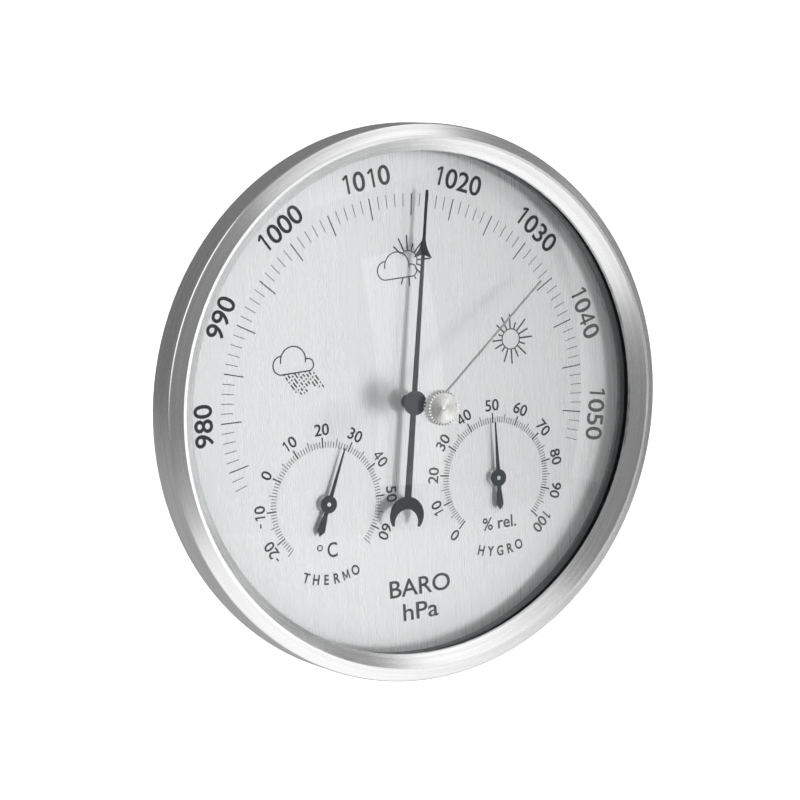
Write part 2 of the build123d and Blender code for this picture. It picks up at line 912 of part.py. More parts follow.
# ---- capsule: two rippled diaphragms, a threaded post behind, a button in front ----
def make_capsule():
    centre_r = button_flange_r + capsule_sheet
    rim_r_in = capsule_r - capsule_rim_w
    ripple_out = rim_r_in - ripple_margin
    step = (ripple_out - centre_r) / (2 * capsule_ripples)
    middle = capsule_h + capsule_depth / 2
    waves = [(centre_r + i * step, ripple_h * (i % 2)) for i in range(2 * capsule_ripples + 1)]
    rear = [(r, capsule_h + drop) for r, drop in waves]
    rear_back = [(r, capsule_h + drop + capsule_sheet) for r, drop in reversed(waves)]
    save(
        turned(
            [(0, capsule_h)]
            + rear
            + [
                (rim_r_in, middle - capsule_sheet),
                (capsule_r, middle - capsule_sheet),
                (capsule_r, middle),
                (rim_r_in - capsule_sheet, middle),
            ]
            + rear_back
            + [(0, capsule_h + capsule_sheet)],
            capsule_x,
            capsule_z,
        ),
        "capsule_rear",
    )
    top = capsule_h + capsule_depth
    hole = button_r + pivot_gap
    front = [(r, top - drop) for r, drop in waves]
    front_back = [(r, top - drop - capsule_sheet) for r, drop in reversed(waves)]
    save(
        turned(
            [(hole, top)]
            + front
            + [
                (rim_r_in, middle + capsule_sheet),
                (capsule_r, middle + capsule_sheet),
                (capsule_r, middle),
                (rim_r_in - capsule_sheet, middle),
            ]
            + front_back
            + [(hole, top - capsule_sheet)],
            capsule_x,
            capsule_z,
        ),
        "capsule_front",
    )
    button_top = shaft_h - capsule_tip_r - touch_gap
    flange_top = top - button_drop
    flange_low = flange_top - button_flange_t
    with BuildPart() as button:
        with BuildSketch(turning_plane(capsule_x, capsule_z)):
            with BuildLine():
                Polyline(
                    (0, button_top),
                    (0, flange_low),
                    (button_flange_r, flange_low),
                    (button_flange_r, flange_top),
                    (button_r, flange_top),
                    (button_r, button_top - button_dome),
                )
                TangentArc((0, button_top), (button_r, button_top - button_dome), tangent=(1, 0))
            make_face()
        revolve(axis=turning_axis(capsule_x, capsule_z))
    save(button, "capsule_button")
    with BuildPart() as post:
        with BuildSketch(face_plane(floor_t + wall_gap, capsule_x, capsule_z)):
            Circle(post_r)
        extrude(amount=capsule_h - floor_t - wall_gap)
        with BuildSketch(face_plane(floor_t + wall_gap, capsule_x, capsule_z)):
            Rectangle(2 * post_r, post_slot_w)
        extrude(amount=post_slot_w, mode=Mode.SUBTRACT)
    save(post, "capsule_post")
    with BuildPart() as nut:
        with BuildSketch(face_plane(base_top_h, capsule_x, capsule_z)):
            RegularPolygon(nut_across / 2, 6, major_radius=False)
            Circle(post_r + pivot_gap, mode=Mode.SUBTRACT)
        extrude(amount=nut_t)
    save(nut, "post_locknut")


# ---- small dials: a cup behind the dial, a coil that turns an arbor, a pointer in front ----
def make_gauge(name, x, z, pointer_turn, coil_t, coil_turns):
    cup_low = dial_back - gauge_cup_depth
    floor_top = cup_low + gauge_cup_t
    bore = gauge_arbor_r + pivot_gap
    with BuildPart() as cup:
        with BuildSketch(face_plane(cup_low, x, z)):
            Circle(gauge_cup_r)
            Circle(bore, mode=Mode.SUBTRACT)
        extrude(amount=gauge_cup_depth)
        with BuildSketch(face_plane(floor_top, x, z)):
            Circle(gauge_cup_r - gauge_cup_t)
        extrude(amount=gauge_cup_depth, mode=Mode.SUBTRACT)
        with BuildSketch(face_plane(floor_top, x, z)):
            Circle(coil_inner_r - gauge_hole_gap)
            Circle(bore, mode=Mode.SUBTRACT)
        extrude(amount=gauge_cup_t)
        with BuildSketch(face_plane(cup_low, x, z)):
            with PolarLocations(gauge_cup_r / 2, air_holes):
                Circle(air_hole_r)
        extrude(amount=gauge_cup_t, mode=Mode.SUBTRACT)
    save(cup, f"{name}_cup")
    save(
        turned(
            [
                (bore, dial_back - collar_flange_t),
                (collar_flange_r, dial_back - collar_flange_t),
                (collar_flange_r, dial_back),
                (collar_r, dial_back),
                (collar_r, dial_h + collar_rise),
                (bore, dial_h + collar_rise),
            ],
            x,
            z,
        ),
        f"{name}_collar",
    )
    pointer_low = dial_h + gauge_pointer_rise
    arbor_high = pointer_low + gauge_pointer_t
    save(ring(0, gauge_arbor_r, cup_low + gauge_cup_t / 2, arbor_high, x, z), f"{name}_arbor")
    coil_low = floor_top + coil_h_gap
    coil = spiral_band(coil_inner_r - coil_t, coil_outer_r, coil_turns, coil_t, coil_low, coil_w, x, z)
    save(coil, f"{name}_coil")
    stud_r = coil_stud_r
    stud_z = z + coil_outer_r + coil_t + stud_r
    save(ring(0, stud_r, floor_top, coil_low + coil_w + stud_r / 2, x, stud_z), f"{name}_coil_stud")
    plane = face_plane(pointer_low, x, z).rotated((0, pointer_turn, 0))
    neck = gauge_hub_r + gauge_cup_t * 2
    with BuildPart() as pointer:
        with BuildSketch(plane):
            with BuildLine():
                Polyline(
                    (-gauge_arbor_r, 0),
                    (-gauge_arbor_r / 5, gauge_tip_r),
                    (gauge_arbor_r / 5, gauge_tip_r),
                    (gauge_arbor_r, 0),
                    (gauge_arbor_r, -neck),
                    (spade_half_w * 0.7, -neck - gauge_arbor_r),
                    (spade_half_w, -gauge_tail_r + 1.3 * spade_half_w),
                    (0, -gauge_tail_r),
                    (-spade_half_w, -gauge_tail_r + 1.3 * spade_half_w),
                    (-spade_half_w * 0.7, -neck - gauge_arbor_r),
                    (-gauge_arbor_r, -neck),
                    close=True,
                )
            make_face()
            Circle(gauge_hub_r)
            Circle(gauge_arbor_r, mode=Mode.SUBTRACT)
        extrude(amount=gauge_pointer_t)
    save(pointer, f"{name}_pointer")


make_bezel()
make_case_shell()
make_dial()
make_spacer()
make_gasket()
make_lens()
make_set_hand()
make_pointer()
make_frame()
make_screws()
make_gears()
make_hairspring()
make_rocking_shaft()
make_capsule()
make_gauge("thermo", -gauge_x, gauge_z, thermo_angle, thermo_coil_t, thermo_coil_turns)
make_gauge("hygro", gauge_x, gauge_z, hygro_angle, hygro_coil_t, hygro_coil_turns)
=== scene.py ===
import json
from math import cos, radians, sin

import bmesh
import bpy
from mathutils import Euler, Matrix, Vector


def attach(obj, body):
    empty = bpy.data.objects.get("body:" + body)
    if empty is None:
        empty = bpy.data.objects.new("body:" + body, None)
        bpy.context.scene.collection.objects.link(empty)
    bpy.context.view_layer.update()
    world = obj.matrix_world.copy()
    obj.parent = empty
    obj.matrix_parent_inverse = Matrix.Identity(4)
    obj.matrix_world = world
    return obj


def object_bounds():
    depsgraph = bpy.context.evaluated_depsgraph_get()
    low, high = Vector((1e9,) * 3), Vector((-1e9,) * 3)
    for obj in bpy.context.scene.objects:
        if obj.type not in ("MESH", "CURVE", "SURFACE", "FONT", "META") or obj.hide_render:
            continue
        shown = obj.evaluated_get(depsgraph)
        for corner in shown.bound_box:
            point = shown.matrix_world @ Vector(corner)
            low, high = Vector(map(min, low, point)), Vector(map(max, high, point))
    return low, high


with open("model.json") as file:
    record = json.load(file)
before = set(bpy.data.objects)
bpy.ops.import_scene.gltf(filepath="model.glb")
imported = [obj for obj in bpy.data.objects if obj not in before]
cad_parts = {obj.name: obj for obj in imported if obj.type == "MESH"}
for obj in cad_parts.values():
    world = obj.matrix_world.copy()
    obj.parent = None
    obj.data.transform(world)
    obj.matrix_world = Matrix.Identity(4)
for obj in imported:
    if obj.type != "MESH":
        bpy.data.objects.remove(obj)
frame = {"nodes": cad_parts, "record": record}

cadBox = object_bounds()
cadNodes = frame["nodes"]
mm = 0.001
dialFace = -0.026  # the front of the dial plate, in y
print("frame loaded:", len(cadNodes), "nodes")


# small helpers for node trees
def startMaterial(name, colour, metallic, roughness):
    mat = bpy.data.materials.new(name)
    mat.use_nodes = True
    shader = mat.node_tree.nodes["Principled BSDF"]
    shader.inputs["Base Color"].default_value = (*colour, 1)
    shader.inputs["Metallic"].default_value = metallic
    shader.inputs["Roughness"].default_value = roughness
    return mat, shader


def addNode(mat, kind, **values):
    node = mat.node_tree.nodes.new("ShaderNode" + kind)
    for key, value in values.items():
        if key in node.inputs:
            node.inputs[key].default_value = value
        else:
            setattr(node, key, value)
    return node


def join(mat, outSocket, inSocket):
    mat.node_tree.links.new(outSocket, inSocket)


def stretchedNoise(mat, stretch, detail=3.0):
    # noise on Object coordinates, with stretch in features per metre along x, y, z
    coords = addNode(mat, "TexCoord")
    mapping = addNode(mat, "Mapping", Scale=stretch)
    noise = addNode(mat, "TexNoise", Scale=1.0, Detail=detail, Roughness=0.55)
    join(mat, coords.outputs["Object"], mapping.inputs["Vector"])
    join(mat, mapping.outputs["Vector"], noise.inputs["Vector"])
    return noise.outputs["Fac"]


def ringNoise(mat, centre, perRadius, perTurn, detail=2.0):
    # noise round an axis square to the wall: fine in radius and depth, long round the circle
    coords = addNode(mat, "TexCoord")
    shift = addNode(mat, "Mapping", Location=(-centre[0], 0, -centre[1]))
    split = addNode(mat, "SeparateXYZ")
    squareX = addNode(mat, "Math", operation="MULTIPLY")
    squareZ = addNode(mat, "Math", operation="MULTIPLY")
    total = addNode(mat, "Math", operation="ADD")
    root = addNode(mat, "Math", operation="SQRT")
    turn = addNode(mat, "Math", operation="ARCTAN2")
    pack = addNode(mat, "CombineXYZ")
    mapping = addNode(mat, "Mapping", Scale=(perRadius, perTurn, perRadius))
    noise = addNode(mat, "TexNoise", Scale=1.0, Detail=detail, Roughness=0.5)
    join(mat, coords.outputs["Object"], shift.inputs["Vector"])
    join(mat, shift.outputs["Vector"], split.inputs["Vector"])
    for socket in squareX.inputs[:2]:
        join(mat, split.outputs["X"], socket)
    for socket in squareZ.inputs[:2]:
        join(mat, split.outputs["Z"], socket)
    join(mat, squareX.outputs[0], total.inputs[0])
    join(mat, squareZ.outputs[0], total.inputs[1])
    join(mat, total.outputs[0], root.inputs[0])
    join(mat, split.outputs["Z"], turn.inputs[0])
    join(mat, split.outputs["X"], turn.inputs[1])
    join(mat, root.outputs[0], pack.inputs["X"])
    join(mat, turn.outputs[0], pack.inputs["Y"])
    join(mat, split.outputs["Y"], pack.inputs["Z"])
    join(mat, pack.outputs[0], mapping.inputs["Vector"])
    join(mat, mapping.outputs["Vector"], noise.inputs["Vector"])
    return noise.outputs["Fac"]


def between(mat, fac, low, high):
    # a number from low to high as fac goes over the middle of its range
    node = addNode(mat, "MapRange")
    node.inputs["From Min"].default_value = 0.3
    node.inputs["From Max"].default_value = 0.7
    node.inputs["To Min"].default_value = low
    node.inputs["To Max"].default_value = high
    join(mat, fac, node.inputs["Value"])
    return node.outputs["Result"]


def tint(mat, fac, dark, light):
    ramp = addNode(mat, "ValToRGB")
    ramp.color_ramp.elements[0].position = 0.3
    ramp.color_ramp.elements[0].color = (*dark, 1)
    ramp.color_ramp.elements[1].position = 0.7
    ramp.color_ramp.elements[1].color = (*light, 1)
    join(mat, fac, ramp.inputs["Fac"])
    return ramp.outputs["Color"]


def bumpFrom(mat, shader, fac, strength, depth):
    bump = addNode(mat, "Bump", Strength=strength, Distance=depth)
    join(mat, fac, bump.inputs["Height"])
    join(mat, bump.outputs["Normal"], shader.inputs["Normal"])


def shade(colour, factor):
    return tuple(min(1.0, c * factor) for c in colour)


# finishes, one for each material slot of the part
grainDepth = {"metal": 0.00002, "moulded": 0.00003}


def turnedSteel(name, colour, roughness, spin, grain, centre=(0, 0)):
    # metal turned or polished round an axis: streaks follow the circle
    mat, shader = startMaterial(name, colour, 1.0, roughness)
    fine = ringNoise(mat, centre, 9000, 2.5)
    broad = ringNoise(mat, centre, 900, 1.2)
    streaks = tint(mat, broad, shade(colour, 0.9), shade(colour, 1.06))
    join(mat, streaks, shader.inputs["Base Color"])
    join(mat, between(mat, fine, roughness * 0.75, roughness * 1.3), shader.inputs["Roughness"])
    bumpFrom(mat, shader, fine, grain, grainDepth["metal"])
    shader.inputs["Anisotropic"].default_value = spin
    tangent = addNode(mat, "Tangent", direction_type="RADIAL", axis="Y")
    join(mat, tangent.outputs["Tangent"], shader.inputs["Tangent"])
    return mat


def brushedPlate(name, colour, metallic, roughness, stretch, grain):
    # sheet brushed in one direction, with a second, broader streak under the fine one
    mat, shader = startMaterial(name, colour, metallic, roughness)
    fine = stretchedNoise(mat, stretch)
    broad = stretchedNoise(mat, tuple(s * 0.3 for s in stretch), 2.0)
    streaks = tint(mat, broad, shade(colour, 0.98), shade(colour, 1.015))
    join(mat, streaks, shader.inputs["Base Color"])
    join(mat, between(mat, fine, roughness * 0.96, roughness * 1.04), shader.inputs["Roughness"])
    bumpFrom(mat, shader, fine, grain, grainDepth["metal"])
    return mat


def grainedSurface(name, colour, metallic, roughness, size, grain):
    # paint, moulded plastic or rubber: an even fine grain, with cloudy colour under it
    mat, shader = startMaterial(name, colour, metallic, roughness)
    fine = stretchedNoise(mat, (1 / size,) * 3)
    cloud = stretchedNoise(mat, (0.03 / size,) * 3)
    streaks = tint(mat, cloud, shade(colour, 0.86), shade(colour, 1.12))
    join(mat, streaks, shader.inputs["Base Color"])
    join(mat, between(mat, fine, roughness * 0.85, roughness * 1.12), shader.inputs["Roughness"])
    bumpFrom(mat, shader, fine, grain, grainDepth["moulded"])
    return mat


def clearLens(name, ior, haze):
    # a thin clear shell: see-through, with a mirror share that grows towards grazing angles
    mat = bpy.data.materials.new(name)
    mat.use_nodes = True
    tree = mat.node_tree
    tree.nodes.remove(tree.nodes["Principled BSDF"])
    fresnel = addNode(mat, "Fresnel", IOR=ior)
    side = addNode(mat, "NewGeometry")
    front = addNode(mat, "Math", operation="SUBTRACT")
    front.inputs[0].default_value = 1.0
    outer = addNode(mat, "Math", operation="MULTIPLY")
    clear = addNode(mat, "BsdfTransparent", Color=(0.985, 0.99, 0.99, 1))
    gloss = addNode(mat, "BsdfGlossy", Color=(1, 1, 1, 1))
    smear = stretchedNoise(mat, (60, 60, 60))
    join(mat, between(mat, smear, haze * 0.7, haze * 1.3), gloss.inputs["Roughness"])
    mix = addNode(mat, "MixShader")
    join(mat, side.outputs["Backfacing"], front.inputs[1])
    join(mat, fresnel.outputs["Fac"], outer.inputs[0])
    join(mat, front.outputs[0], outer.inputs[1])
    join(mat, outer.outputs[0], mix.inputs["Fac"])
    join(mat, clear.outputs["BSDF"], mix.inputs[1])
    join(mat, gloss.outputs["BSDF"], mix.inputs[2])
    join(mat, mix.outputs["Shader"], tree.nodes["Material Output"].inputs["Surface"])
    return mat


finish = {
    "stainless": turnedSteel("satinRim", (0.82, 0.82, 0.82), 0.24, 0.5, 0.25),
    "case_plastic": grainedSurface("caseMoulding", (0.022, 0.022, 0.024), 0.0, 0.5, 0.0004, 0.5),
    "silver_dial": brushedPlate(
        "silveredDial", (0.805, 0.805, 0.81), 0.55, 0.28, (7000, 400, 35), 0.007
    ),
    "black_plastic": grainedSurface("spacerMoulding", (0.05, 0.055, 0.06), 0.0, 0.4, 0.0003, 0.3),
    "gasket_rubber": grainedSurface("gasketRubber", (0.015, 0.015, 0.015), 0.0, 0.7, 0.0003, 0.4),
    "lens_glass": clearLens("lensGlass", 1.46, 0.02),
    "steel": turnedSteel("turnedSteel", (0.62, 0.63, 0.64), 0.25, 0.4, 0.3),
    "spring_steel": turnedSteel("springSteel", (0.30, 0.33, 0.42), 0.28, 0.3, 0.2),
    "screw_steel": turnedSteel("platedScrews", (0.66, 0.66, 0.66), 0.22, 0.3, 0.2),
    "knob_metal": turnedSteel("turnedKnob", (0.82, 0.82, 0.81), 0.22, 0.8, 0.5),
    "set_hand_metal": turnedSteel("setHandWire", (0.45, 0.46, 0.46), 0.22, 0.2, 0.1),
    "pointer_paint": grainedSurface(
        "pointerPaint", (0.018, 0.023, 0.027), 0.1, 0.55, 0.00025, 0.15
    ),
    "small_pointer_paint": grainedSurface(
        "gaugePaint", (0.022, 0.03, 0.034), 0.1, 0.38, 0.00025, 0.15
    ),
    "brass_plate": brushedPlate(
        "stampedBrass", (0.72, 0.56, 0.28), 1.0, 0.3, (2600, 2600, 60), 0.2
    ),
    "brass_turned": turnedSteel("turnedBrass", (0.76, 0.60, 0.30), 0.25, 0.3, 0.2),
    "capsule_metal": turnedSteel(
        "rippledMetal", (0.70, 0.69, 0.62), 0.28, 0.4, 0.3, (-0.0216, -0.003)
    ),
    "gauge_cup": brushedPlate("drawnCup", (0.72, 0.72, 0.72), 1.0, 0.4, (1800, 1800, 90), 0.2),
    "collar_metal": turnedSteel("brightCollar", (0.84, 0.84, 0.84), 0.16, 0.3, 0.1),
    "bimetal": brushedPlate("rolledStrip", (0.55, 0.46, 0.36), 1.0, 0.35, (900, 2600, 900), 0.2),
    "hygro_strip": brushedPlate(
        "coatedStrip", (0.56, 0.50, 0.36), 0.8, 0.45, (900, 2600, 900), 0.2
    ),
}
for part in frame["record"]["subparts"]:
    mesh = cadNodes[part["node"]].data
    mesh.materials.clear()
    mesh.materials.append(finish[part["material_slot"]])
print("finishes assigned:", len(finish))


# printing on the dial, in millimetres
ink = {
    "lift": 0.012,
    "thick": 0.02,
    "black": (0.022, 0.024, 0.026),
    "grey": (0.10, 0.105, 0.11),
}
inkBlack = grainedSurface("inkBlack", ink["black"], 0.0, 0.5, 0.0003, 0.1)
inkGrey = grainedSurface("inkGrey", ink["grey"], 0.0, 0.5, 0.0003, 0.1)


def clockPoint(centre, radius, angle):
    turn = radians(angle)
    return (centre[0] + radius * sin(turn), centre[1] + radius * cos(turn))


def printBar(bm, start, end, width):
    # a thin straight line of ink between two points of the dial, in millimetres
    run = Vector((end[0] - start[0], 0, end[1] - start[1]))
    middle = Vector(((start[0] + end[0]) / 2, 0, (start[1] + end[1]) / 2))
    turn = Vector((0, 0, 1)).rotation_difference(run.normalized()).to_matrix().to_4x4()
    if run.z < 0 and abs(run.x) < 1e-9:
        turn = Matrix.Identity(4)  # straight down has no one way to turn
    size = Matrix.Diagonal((width, ink["thick"], run.length, 1))
    level = Vector((0, -ink["lift"] - ink["thick"] / 2, 0))
    place = Matrix.Translation(middle + level) @ turn @ size
    bmesh.ops.create_cube(bm, size=1, matrix=place)


def printArc(bm, centre, radius, start, end, width):
    # a thin ribbon of ink round a centre, spun clockwise from start to end
    steps = max(6, int(abs(end - start) / 7))
    corners = []
    for r, y in ((-0.5, 0), (0.5, 0), (0.5, 1), (-0.5, 1)):
        x, z = clockPoint(centre, radius + r * width, start)
        corners.append(bm.verts.new((x, -ink["lift"] - y * ink["thick"], z)))
    face = bm.faces.new(corners)
    closed = abs(end - start) >= 360
    bmesh.ops.spin(
        bm,
        geom=[face],
        cent=(centre[0], 0, centre[1]),
        axis=(0, 1, 0),
        angle=radians(end - start),
        steps=steps,
        use_merge=closed,
    )
    if closed:
        bmesh.ops.delete(bm, geom=[face], context="FACES")


def flatText(words, weight):
    # words as a flat mesh, centred in x on the base line
    curve = bpy.data.curves.new("words", "FONT")
    curve.body = words
    curve.align_x = "CENTER"
    curve.offset = weight
    curve.resolution_u = 6
    holder = bpy.data.objects.new("words", curve)
    bpy.context.scene.collection.objects.link(holder)
    bpy.context.view_layer.update()
    flat = bpy.data.meshes.new_from_object(holder)
    bpy.data.objects.remove(holder)
    return flat


def capitalHeight():
    flat = flatText("H", 0.0)
    height = max(v.co.y for v in flat.vertices)
    bpy.data.meshes.remove(flat)
    return height


fontCapital = capitalHeight()


def printText(bm, words, centre, height, angle, widthShare, weight):
    # words whose capitals are height millimetres tall, centred on a point and turned clockwise
    flat = flatText(words, weight)
    scale = height / fontCapital
    toDial = Matrix.Rotation(radians(90), 4, "X")
    size = Matrix.Diagonal((scale * widthShare, scale, 1, 1))
    down = Matrix.Translation((0, -height / 2, 0))
    turn = Matrix.Rotation(radians(angle), 4, "Y")
    level = -ink["lift"] - ink["thick"]
    place = Matrix.Translation((centre[0], level, centre[1])) @ turn @ toDial @ down @ size
    flat.transform(place)
    bm.from_mesh(flat)
    bpy.data.meshes.remove(flat)


def finishPrint(bm, name, mat):
    # from millimetres on the dial to metres in the frame, facing the reader
    bmesh.ops.scale(bm, vec=(mm, mm, mm), verts=bm.verts)
    bmesh.ops.translate(bm, vec=(0, dialFace, 0), verts=bm.verts)
    bmesh.ops.remove_doubles(bm, verts=bm.verts, dist=1e-7)
    bmesh.ops.recalc_face_normals(bm, faces=bm.faces)
    for face in bm.faces:
        # only the flat text has open edges, and it looks out of the dial
        loose = any(len(edge.link_faces) == 1 for edge in face.edges)
        if loose and face.normal.y > 0.9:
            face.normal_flip()
    mesh = bpy.data.meshes.new(name)
    bm.to_mesh(mesh)
    bm.free()
    piece = bpy.data.objects.new(name, mesh)
    bpy.context.scene.collection.objects.link(piece)
    mesh.materials.append(mat)
    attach(piece, "case")


# strokes of the signs that stay open when drawn bold, in shares of the height from the centre
strokes = {
    "1": (((0.08, -0.5), (0.08, 0.5)), ((-0.17, 0.28), (0.06, 0.46))),
    "4": (
        ((0.13, -0.5), (0.13, 0.5)),
        ((0.12, 0.46), (-0.28, -0.2)),
        ((-0.33, -0.22), (0.32, -0.22)),
    ),
    "-": (((-0.1, 0.0), (0.24, 0.0)),),
    "M": (
        ((-0.32, -0.5), (-0.32, 0.5)),
        ((-0.29, 0.47), (0.0, -0.34)),
        ((0.0, -0.34), (0.29, 0.47)),
        ((0.32, 0.5), (0.32, -0.5)),
    ),
}

digit = {
    "step": 0.76,
    "wide": 1.04,
    "stroke": 0.13,
}


def printSign(bm, sign, centre, height, angle, wide, weight):
    if sign not in strokes:
        printText(bm, sign, centre, height, angle, wide, weight)
        return
    turn = radians(angle)
    along = Vector((cos(turn), -sin(turn))) * height
    up = Vector((sin(turn), cos(turn))) * height
    for start, end in strokes[sign]:
        first = Vector(centre) + along * start[0] + up * start[1]
        last = Vector(centre) + along * end[0] + up * end[1]
        printBar(bm, first, last, digit["stroke"] * height)


def printNumber(bm, value, centre, height, angle, weight):
    # figures of equal width, centred without the minus sign
    turn = radians(angle)
    along = Vector((cos(turn), -sin(turn))) * digit["step"] * height
    figures = str(value)
    middle = (len(figures) - 1) / 2 + (0.5 if value < 0 else 0)
    for i, figure in enumerate(figures):
        spot = Vector(centre) + along * (i - middle)
        printSign(bm, figure, spot, height, angle, digit["wide"], weight)


mainScale = {
    "middle": 1013,
    "first": 973,
    "last": 1053,
    "perUnit": 2.7,
    "outer": 49.35,
    "longInner": 44.15,
    "shortInner": 46.18,
    "longWidth": 0.26,
    "shortWidth": 0.17,
    "numberRadius": 53.85,
    "numberHeight": 4.5,
    "numberWeight": 0.013,
}


def makeMainScale():
    s = mainScale
    longTicks = bmesh.new()
    shortTicks = bmesh.new()
    numbers = bmesh.new()
    for value in range(s["first"], s["last"] + 1):
        angle = (value - s["middle"]) * s["perUnit"]
        outer = clockPoint((0, 0), s["outer"], angle)
        if value % 5 == 0:
            printBar(longTicks, clockPoint((0, 0), s["longInner"], angle), outer, s["longWidth"])
        else:
            printBar(shortTicks, clockPoint((0, 0), s["shortInner"], angle), outer, s["shortWidth"])
        if value % 10 == 0:
            centre = clockPoint((0, 0), s["numberRadius"], angle)
            printNumber(numbers, value, centre, s["numberHeight"], angle, s["numberWeight"])
    finishPrint(longTicks, "scaleLongTicks", inkBlack)
    finishPrint(shortTicks, "scaleShortTicks", inkGrey)
    finishPrint(numbers, "scaleNumbers", inkBlack)


gaugeScales = {
    "x": 23.4,
    "z": -21.4,
    "outer": 15.75,
    "inner": 13.3,
    "midOuter": 15.55,
    "shortOuter": 14.75,
    "longWidth": 0.34,
    "midWidth": 0.2,
    "shortWidth": 0.19,
    "numberRadius": 17.6,
    "numberHeight": 2.65,
    "numberWeight": 0.012,
    "wordRadius": 18.0,
    "wordHeight": 2.3,
    "wordWeight": 0.024,
    "wordWide": 0.8,
    "wordStep": 8.6,
}


def makeGaugeScale(name, x, first, last, middle, perUnit, numberFrom, word):
    g = gaugeScales
    centre = (x, g["z"])
    longTicks = bmesh.new()
    shortTicks = bmesh.new()
    numbers = bmesh.new()
    for value in range(first, last + 1):
        angle = (value - middle) * perUnit
        inner = clockPoint(centre, g["inner"], angle)
        if value % 10 == 0:
            printBar(longTicks, inner, clockPoint(centre, g["outer"], angle), g["longWidth"])
        elif value % 5 == 0:
            printBar(shortTicks, inner, clockPoint(centre, g["midOuter"], angle), g["midWidth"])
        else:
            printBar(shortTicks, inner, clockPoint(centre, g["shortOuter"], angle), g["shortWidth"])
        if value % 10 == 0 and value >= numberFrom:
            spot = clockPoint(centre, g["numberRadius"], angle)
            printNumber(numbers, value, spot, g["numberHeight"], angle, g["numberWeight"])
    for i, letter in enumerate(word):
        angle = 180 - (i - (len(word) - 1) / 2) * g["wordStep"]
        spot = clockPoint(centre, g["wordRadius"], angle)
        turned = angle + 180
        printSign(numbers, letter, spot, g["wordHeight"], turned, g["wordWide"], g["wordWeight"])
    finishPrint(longTicks, name + "LongTicks", inkBlack)
    finishPrint(shortTicks, name + "ShortTicks", inkGrey)
    finishPrint(numbers, name + "Numbers", inkBlack)


dialWords = {
    "BARO": {"centre": (0.35, -44.5), "height": 4.05, "wide": 1.1},
    "hPa": {"centre": (0.1, -50.45), "height": 4.0, "wide": 1.2},
    "C": {"centre": (-22.6, -32.45), "height": 3.4, "wide": 0.84},
    "% rel.": {"centre": (23.7, -32.5), "height": 2.9, "wide": 1.0},
}
wordWeight = 0.01
degreeRing = {"centre": (-25.9, -31.6), "radius": 0.62, "line": 0.3}


def makeDialWords():
    bm = bmesh.new()
    for word, place in dialWords.items():
        printText(bm, word, place["centre"], place["height"], 0.0, place["wide"], wordWeight)
    printArc(bm, degreeRing["centre"], degreeRing["radius"], 0, 360, degreeRing["line"])
    finishPrint(bm, "dialWords", inkBlack)


signs = {
    "line": 0.3,
    "rayLine": 0.345,
    "sunLine": 0.24,
    "rayTurn": 22.5,
    "sunRadius": 2.45,
    "rayStart": 2.6,
    "rayReach": (
        6.1, 4.2, 6.2, 5.3, 6.1, 4.2, 5.8, 4.85,
        6.0, 5.8, 3.8, 4.9, 5.1, 3.7, 5.35, 6.0,
    ),
    "sun": (29.8, 11.6),
    "halfSun": (2.6, 33.3),
    "halfCloud": (-0.5, 32.4),
    "rainCloud": (-29.7, 13.3),
}

rain = {
    "lines": 9,
    "pitch": 0.93,
    "reach": 5.2,
    "sway": 0.9,
    "slant": (0.55, -0.83),
    "drops": (0.35, 0.9, 0.4, 1.5, 0.35, 0.8),
    "gap": 0.5,
    "line": 0.34,
}


def printCloud(bm, centre):
    # three lobes on a level base; the tall middle lobe runs a little way inside the others
    x, z = centre
    line = signs["line"]
    printArc(bm, (x, z), 3.3, -97, 103, line)
    printArc(bm, (x - 3.13, z - 0.85), 2.2, -181, -2, line)
    printArc(bm, (x + 3.8, z - 1.45), 1.5, -22, 158, line)
    printBar(bm, (x - 3.15, z - 3.03), (x + 4.35, z - 2.85), line)


def printSun(bm, centre, rays, arcStart, arcEnd):
    for i in rays:
        angle = i * signs["rayTurn"]
        inner = clockPoint(centre, signs["rayStart"], angle)
        outer = clockPoint(centre, signs["rayReach"][i], angle)
        printBar(bm, inner, outer, signs["rayLine"])
    printArc(bm, centre, signs["sunRadius"], arcStart, arcEnd, signs["sunLine"])


def printRain(bm, centre):
    # slanting broken lines under the cloud, each with its own rhythm of short and long drops
    slant = Vector(rain["slant"])
    for i in range(rain["lines"]):
        start = Vector((centre[0] - 2.75 + rain["pitch"] * i, centre[1] - 2.95 + 0.03 * i))
        reach = rain["reach"] + rain["sway"] * sin(0.8 * i + 0.4)
        along = 0.1 + 0.35 * (i % 3)
        step = i
        while along < reach:
            drop = rain["drops"][step % len(rain["drops"])]
            top = start + slant * along
            bottom = start + slant * min(along + drop, reach + 0.3)
            printBar(bm, top, bottom, rain["line"])
            along += drop + rain["gap"]
            step += 1


def makeWeatherSigns():
    bm = bmesh.new()
    printSun(bm, signs["sun"], range(16), 0, 360)
    printSun(bm, signs["halfSun"], (0, 1, 2, 3, 4, 5, 6, 14, 15), -40, 118)
    printCloud(bm, signs["halfCloud"])
    x, z = signs["halfSun"]
    base = signs["halfCloud"][1] - 3.0
    for i in (7, 8, 9):
        outer = clockPoint((x, z), signs["rayReach"][i], i * signs["rayTurn"])
        share = (base - z) / (outer[1] - z)
        inner = (x + (outer[0] - x) * share, base)
        printBar(bm, inner, outer, signs["rayLine"])
    printCloud(bm, signs["rainCloud"])
    printRain(bm, signs["rainCloud"])
    finishPrint(bm, "weatherSigns", inkBlack)


makeMainScale()
gx = gaugeScales["x"]
makeGaugeScale("thermo", -gx, -25, 65, 20, 3.0, -20, "THERMO")
makeGaugeScale("hygro", gx, 0, 100, 50, 2.7, 0, "HYGRO")
makeDialWords()
makeWeatherSigns()
print("dial printed")


